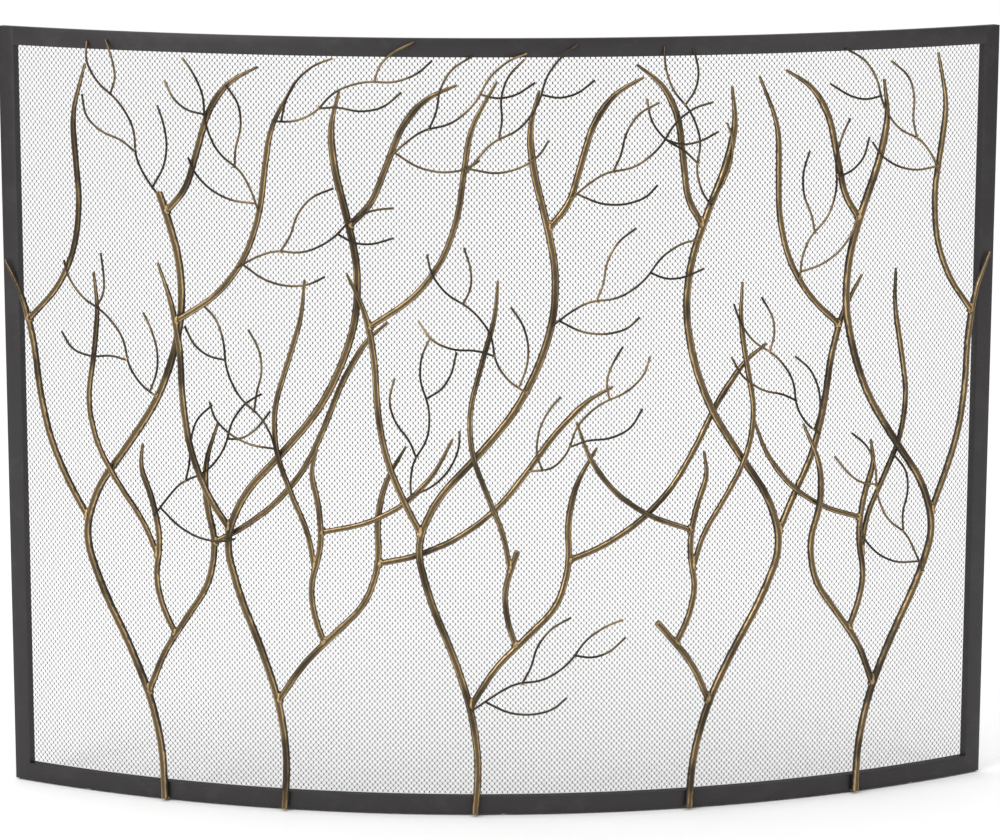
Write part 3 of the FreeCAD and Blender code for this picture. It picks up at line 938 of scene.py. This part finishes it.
@dataclass
class BranchTree:
    """One welded tree of forged rods, with its sprays of twigs and its weld beads."""

    number: int
    brass: bpy.types.Material
    weld_metal: bpy.types.Material
    twig_metal: bpy.types.Material
    skin_size: float = 1.25 * MM
    skin_passes: int = 2
    weld_skin_size: float = 0.5 * MM
    weld_passes: int = 3
    forging: float = 0.26 * MM
    forging_scale: float = 105.0
    touch: float = 0.30 * MM
    bead_step: float = 1.6 * MM
    bead_low: float = 1.5 * MM
    bead_high: float = 2.7 * MM
    bead_nudge: float = 0.3 * MM
    twig_to_rod: float = 1.8 * MM
    twig_to_twig: float = 2.16 * MM
    twig_end_reach: float = 9.0 * MM
    twig_bead: float = 1.5 * MM
    twig_beads: int = 4
    twig_bead_first: float = 0.2 * MM
    twig_bead_step: float = 1.2 * MM
    twig_bead_taper: float = 0.1
    fillet_out: float = 2.4 * MM
    parents: dict[str, str] = field(
        default_factory=lambda: {
            "side_bough": "trunk",
            "crown_branch": "trunk",
            "limb": "trunk",
            "top_bough": "side_bough",
            "low_branch": "limb",
            "long_branch": "limb",
            "inner_branch": "low_branch",
            "short_branch": "low_branch",
        }
    )

    def rods(self) -> list[str]:
        """The titles of this tree's rods."""
        titles = ["trunk", *self.parents]
        return [title for title in titles if self._node(title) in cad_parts]

    def _node(self, title: str) -> str:
        """The name of this tree's node with a title."""
        return f"{title}_{self.number}"

    def _cad(self, title: str) -> bpy.types.Object:
        """This tree's CAD node with a title."""
        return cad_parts[self._node(title)]

    def _touching(self, title: str, skin: BVHTree) -> list[np.ndarray]:
        """A rod's points that lie on another piece's skin.

        Args:
            title: the rod's title.
            skin: the other piece's search tree.

        Returns:
            The points within touching distance.
        """
        points = points_of(self._cad(title).data)
        return [p for p in points if skin.find_nearest(Vector(p), self.touch)[0] is not None]

    def build(self, bow: Bow) -> None:
        """Makes the rods, the beads and dresses the twigs.

        Args:
            bow: the bow that the tree is bent to.
        """
        rng = np.random.default_rng(SEED + self.number)
        skins = {title: skin_of(self._cad(title)) for title in self.rods()}
        for title in self.rods():
            self._forge(title)
        beads = self._root_beads(skins, rng)
        beads += self._rail_beads(bow, rng)
        beads += self._twig_beads(skins, rng)
        raw = Soup.of(beads).piece(f"raw_welds_{self.number}")
        welds = remeshed(raw, f"weld_beads_{self.number}", self.weld_skin_size, self.weld_passes)
        bpy.data.objects.remove(raw)
        place(welds, self.weld_metal, Slot.ROD)
        twigs = self._cad("twigs")
        dress(twigs, self.twig_metal)
        LOG.info("%s: dressed", twigs.name)

    def _forge(self, title: str) -> None:
        """Makes one rod with a hand-forged skin.

        Args:
            title: the rod's title.
        """
        node = self._node(title)
        rod = remeshed(self._cad(title), f"forged_{node}", self.skin_size, self.skin_passes)
        mesh = rod.data
        points = points_of(mesh)
        normals = np.zeros(len(mesh.vertices) * 3, np.float32)
        mesh.vertices.foreach_get("normal", normals)
        offset = Vector((self.number * 3.1, len(title) * 1.7, 0.0))
        lift = [noise.noise(Vector(p) * self.forging_scale + offset) for p in points]
        lift = np.array(lift)[:, None] * self.forging
        mesh.vertices.foreach_set("co", (points + normals.reshape(-1, 3) * lift).astype(np.float32).ravel())
        mesh.update()
        place(rod, self.brass, Slot.ROD, node)

    def _root_beads(self, skins: dict[str, BVHTree], rng: np.random.Generator) -> list[Soup]:
        """Weld beads round each rod's root, where it sits on its parent.

        Args:
            skins: the rods' search trees, by title.
            rng: the source of the beads' unevenness.

        Returns:
            The beads.
        """
        beads = []
        for title in self.rods():
            parent = self.parents.get(title)
            if parent is None:
                continue
            touching = self._touching(title, skins[parent])
            for spot in spaced(touching, self.bead_step):
                radius = rng.uniform(self.bead_low, self.bead_high)
                nudge = rng.uniform(-self.bead_nudge, self.bead_nudge, 3)
                beads.append(bead(spot + nudge, radius))
        return beads

    def _rail_beads(self, bow: Bow, rng: np.random.Generator) -> list[Soup]:
        """Weld beads beside the line where a rod lies on a rail.

        Args:
            bow: the bow.
            rng: the source of the beads' unevenness.

        Returns:
            The beads.
        """
        beads = []
        for rail in ("bottom_rail", "top_rail"):
            skin = skin_of(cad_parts[rail])
            for title in self.rods():
                for spot in spaced(self._touching(title, skin), self.bead_step):
                    sideways = np.cross(bow.outward(spot), (0.0, 0.0, 1.0))
                    for side in (-1.0, 1.0):
                        radius = rng.uniform(self.bead_low, self.bead_high)
                        beads.append(bead(spot + sideways * side * self.fillet_out, radius))
        return beads

    def _twig_beads(self, skins: dict[str, BVHTree], rng: np.random.Generator) -> list[Soup]:
        """Weld beads where a twig's end meets its rod or another twig.

        Args:
            skins: the rods' search trees, by title.
            rng: the source of the beads' unevenness.

        Returns:
            The beads.
        """
        twigs = self._cad("twigs").data
        points = points_of(twigs)
        wires = [points[island] for island in islands_of(twigs)]
        beads = []
        for number, wire in enumerate(wires):
            for end in ends_of(wire):
                near_rod = any(s.find_nearest(Vector(end), self.twig_to_rod)[0] for s in skins.values())
                others = [w for n, w in enumerate(wires) if n != number]
                near_twig = any(distances(w, end).min() < self.twig_to_twig for w in others)
                if near_rod or near_twig:
                    inwards = wire[distances(wire, end) < self.twig_end_reach].mean(0) - end
                    inwards /= np.linalg.norm(inwards)
                    for step in range(self.twig_beads):
                        radius = self.twig_bead * rng.uniform(0.8, 1.1) * (1.0 - self.twig_bead_taper * step)
                        along = self.twig_bead_first + self.twig_bead_step * step
                        beads.append(bead(end + inwards * along, radius))
        return beads


def spaced(points: Sequence[np.ndarray], step: float) -> list[np.ndarray]:
    """Picks points that aren't too near each other.

    Args:
        points: the points to pick from, in order.
        step: the least distance between picked points.

    Returns:
        The picked points.
    """
    picked: list[np.ndarray] = []
    for point in points:
        if all(np.linalg.norm(point - other) >= step for other in picked):
            picked.append(point)
    return picked


def distances(points: np.ndarray, spot: np.ndarray) -> np.ndarray:
    """How far each point is from a spot."""
    return np.linalg.norm(points - spot, axis=1)


def ends_of(wire: np.ndarray, reach: float = 2.0 * MM) -> list[np.ndarray]:
    """The middles of a wire's two ends.

    Args:
        wire: the points of a thin wire's skin.
        reach: how near its furthest point the rest of an end lies.

    Returns:
        The two ends.
    """
    far = wire[np.argmax(distances(wire, wire.mean(0)))]
    other = wire[np.argmax(distances(wire, far))]
    return [wire[distances(wire, end) < reach].mean(0) for end in (far, other)]


# ---------------------------------------------------------------------------------------------------
# The studio


@dataclass(frozen=True)
class SoftLight:
    """One soft area light."""

    name: str
    place: tuple[float, float, float]
    target: tuple[float, float, float]
    width: float
    height: float
    power: float

    def hang(self) -> None:
        """Adds the light."""
        data = bpy.data.lights.new(self.name, "AREA")
        data.shape = "RECTANGLE"
        data.size = self.width
        data.size_y = self.height
        data.energy = self.power
        lamp = bpy.data.objects.new(self.name, data)
        lamp.location = self.place
        aim = Vector(self.target) - Vector(self.place)
        lamp.rotation_euler = aim.to_track_quat("-Z", "Y").to_euler()
        bpy.context.scene.collection.objects.link(lamp)


@dataclass
class Studio:
    """A plain pale floor, soft light and the camera."""

    floor_size: float = 80.0
    sky: float = 0.42
    daylight: float = 2.3
    daylight_spread: float = math.radians(100.0)
    camera_place: tuple[float, float, float] = (-0.140, -4.010, 1.2625)
    turned_right: float = 0.0336
    tipped_down: float = 0.1995
    rolled: float = 0.0022
    lens: float = 134.2
    lights: tuple[SoftLight, ...] = (
        SoftLight("front_left", (-2.8, -3.0, 2.4), (0.0, 0.0, 0.4), 1.5, 1.8, 60.0),
        SoftLight("front_right", (2.6, -2.6, 1.6), (0.0, 0.0, 0.4), 0.7, 1.8, 14.0),
    )

    def build(self) -> None:
        """Sets up the floor, the light and the camera."""
        self._floor()
        for light in self.lights:
            light.hang()
        self._daylight()
        self._sky()
        self._camera()
        bpy.context.scene.view_settings.view_transform = "Standard"
        LOG.info("studio: %d lights", len(self.lights))

    def _floor(self) -> None:
        """Lays the floor at the height that the pads stand on."""
        half = self.floor_size / 2.0
        corners = np.array([(-half, -half, 0.0), (half, -half, 0.0), (half, half, 0.0), (-half, half, 0.0)])
        floor = Soup(corners, np.array([(0, 1, 2, 3)])).piece("floor", smooth=False)
        floor.data.materials.append(StudioFloor().made())

    def _daylight(self) -> None:
        """Adds one broad light from high up, which reaches the whole floor evenly."""
        data = bpy.data.lights.new("daylight", "SUN")
        data.energy = self.daylight
        data.angle = self.daylight_spread
        lamp = bpy.data.objects.new("daylight", data)
        lamp.rotation_euler = (math.radians(12.0), math.radians(-14.0), 0.0)
        bpy.context.scene.collection.objects.link(lamp)

    def _sky(self) -> None:
        """Fills the room with even white light."""
        world = bpy.data.worlds.new("soft_room")
        world.use_nodes = True
        background = world.node_tree.nodes["Background"]
        background.inputs["Color"].default_value = (1.0, 1.0, 1.0, 1.0)
        background.inputs["Strength"].default_value = self.sky
        bpy.context.scene.world = world

    def _camera(self) -> None:
        """Sets the camera, level with +Y ahead and then turned, tipped and rolled."""
        data = bpy.data.cameras.new("camera")
        data.lens = self.lens
        data.sensor_width = 36.0
        data.clip_end = 200.0
        camera = bpy.data.objects.new("camera", data)
        upright = Matrix.Rotation(math.pi / 2.0, 4, "X")
        turn = Matrix.Rotation(-self.turned_right, 4, "Z")
        tip = Matrix.Rotation(-self.tipped_down, 4, "X")
        roll = Matrix.Rotation(self.rolled, 4, "Z")
        camera.matrix_world = Matrix.Translation(self.camera_place) @ turn @ tip @ upright @ roll
        bpy.context.scene.collection.objects.link(camera)
        bpy.context.scene.camera = camera


def main() -> None:
    """Builds the screen, sub-assembly by sub-assembly, and then the studio."""
    logging.basicConfig(level=logging.INFO, format="%(name)s: %(message)s")
    bow = Bow.of_frame()
    LOG.info("bow: radius %.4f m, axis at y %.4f m", bow.radius, bow.axis_y)
    BarFrame().build()
    ClothStrips().build(bow)
    FloorPads().build()
    WireCloth().build(bow)
    brass = AntiqueBrass().made(bow)
    # the weld beads carry gold round to their sides and a weaker painted dark reflection; the twigs keep the
    # rods' painted shade, highlight and dark reflection
    beads = AntiqueBrass(
        "weld_gold", rub_and_side_shade_starts=0.0, rub_and_side_shade_full=0.7, painted_dark_reflection_share=0.25, dark_starts=0.62, dark_full=0.8
    ).made(bow)
    twig = AntiqueBrass(
        "twig_brass", dark_starts=0.34, dark_full=0.56, dark_share=0.9, relief=0.12 * MM
    ).made(bow)
    for number in range(1, TREES + 1):
        BranchTree(number, brass, beads, twig).build(bow)
    Studio().build()


if __name__ == "__main__":
    main()
